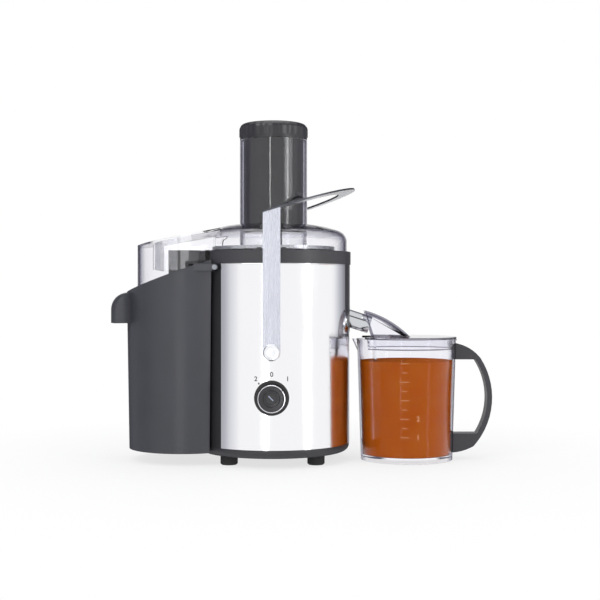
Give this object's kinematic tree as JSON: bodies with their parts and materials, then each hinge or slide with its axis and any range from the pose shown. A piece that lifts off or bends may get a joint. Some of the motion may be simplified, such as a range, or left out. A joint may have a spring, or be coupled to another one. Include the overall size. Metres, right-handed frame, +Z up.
{
  "type": "centrifugal juicer",
  "caption": "Countertop juice extractor: steel-wrapped motor base, clear cover with feed chute and pusher, locking arm, side pulp bin, angled spout and lidded jug.",
  "frame": {"origin": "middle of the whole footprint with the jug in place, on the table", "axes": "+Z up, +X from the body towards the jug, -Y towards the front with the control knob"},
  "size_m": [0.4526, 0.2128, 0.4002],
  "materials": {
    "polished_steel": "polished",
    "satin_steel": "satin",
    "bright_spout": "bright silver",
    "charcoal_plastic": "fine matte",
    "black_plastic": "fine matte",
    "gloss_black": "glossy",
    "clear_plastic": "clear moulded plastic",
    "smoke_plastic": "dark glossy",
    "light_plastic": "plain",
    "peg_plastic": "plain",
    "black_rubber": "matte",
    "grey_silicone": "matte",
    "cast_alloy": "cast",
    "core_steel": "laminated",
    "enamelled_copper": "enamelled",
    "bare_copper": "turned",
    "carbon": "matte",
    "capacitor_case": "plain",
    "wire_cover": "matte"
  },
  "bodies": {
    "machine": {"steel_wrap": "polished_steel", "arm_rivets": "satin_steel", "base_screws": "satin_steel", "motor_screws": "satin_steel", "tie_bolts": "satin_steel", "lower_bearing": "satin_steel", "upper_bearing": "satin_steel", "juice_spout": "bright_spout", "body_shell": "black_plastic", "filter_bowl": "black_plastic", "base_pan": "black_plastic", "cord_gland": "black_plastic", "safety_switch": "black_plastic", "knob_bezel": "gloss_black", "juicer_cover": "clear_plastic", "pulp_hood": "clear_plastic", "feed_chute": "clear_plastic", "pivot_bushes": "light_plastic", "speed_switch": "light_plastic", "terminal_block": "light_plastic", "brush_holders": "light_plastic", "bin_pegs": "peg_plastic", "rubber_feet": "black_rubber", "motor_mounts": "black_rubber", "shaft_seal": "black_rubber", "bowl_gasket": "grey_silicone", "lower_bracket": "cast_alloy", "upper_bracket": "cast_alloy", "field_stack": "core_steel", "field_coils": "enamelled_copper", "carbon_brushes": "carbon", "suppressor_capacitor": "capacitor_case", "wiring_loom": "wire_cover"},
    "knob": {"speed_knob": "gloss_black", "switch_spindle": "satin_steel"},
    "arm": {"locking_arm": "satin_steel"},
    "plunger": {"safety_plunger": "light_plastic"},
    "pusher": {"pusher_tube": "smoke_plastic", "pusher_cap": "charcoal_plastic"},
    "bin": {"pulp_bin": "charcoal_plastic"},
    "jug": {"juice_jug": "clear_plastic", "jug_handle": "charcoal_plastic"},
    "jug_lid": {"jug_lid": "clear_plastic", "froth_separator": "clear_plastic"},
    "rotor": {"motor_shaft": "satin_steel", "armature_core": "core_steel", "armature_windings": "enamelled_copper", "commutator": "bare_copper", "cooling_fan": "black_plastic", "drive_coupling": "black_plastic", "filter_basket": "satin_steel", "grater_disc": "satin_steel", "basket_nut": "black_plastic"}
  },
  "joints": [
    {"name": "knob_turn", "type": "hinge", "parent": "machine", "child": "knob", "pos_m": [-0.0333, -0.1, 0.08], "axis": [0, 1, 0], "range_deg": [0, 90]},
    {"name": "arm_swing", "type": "hinge", "parent": "machine", "child": "arm", "pos_m": [-0.0333, 0, 0.131], "axis": [0, 1, 0], "range_deg": [0, 50]},
    {"name": "plunger_press", "type": "slide", "parent": "machine", "child": "plunger", "axis": [0, -1, 0], "range_m": [0, 0.002]},
    {"name": "pusher_lift", "type": "slide", "parent": "machine", "child": "pusher", "axis": [0, 0, 1], "range_m": [0, 0.095]},
    {"name": "bin_tilt", "type": "hinge", "parent": "machine", "child": "bin", "pos_m": [-0.09875, 0, 0.2266], "axis": [0, 1, 0], "range_deg": [0, 6]},
    {"name": "jug_slide", "type": "slide", "parent": "machine", "child": "jug", "axis": [1, 0, 0], "range_m": [0, 0.1]},
    {"name": "jug_lid_lift", "type": "slide", "parent": "jug", "child": "jug_lid", "axis": [0, 0, 1], "range_m": [0, 0.05]},
    {"name": "rotor_spin", "type": "hinge", "parent": "machine", "child": "rotor", "pos_m": [-0.0333, 0, 0], "axis": [0, 0, 1], "continuous": true}
  ],
  "couplings": [
    {"joint": "plunger_press", "follows": "arm_swing", "m_per_rad": 0.00229}
  ]
}
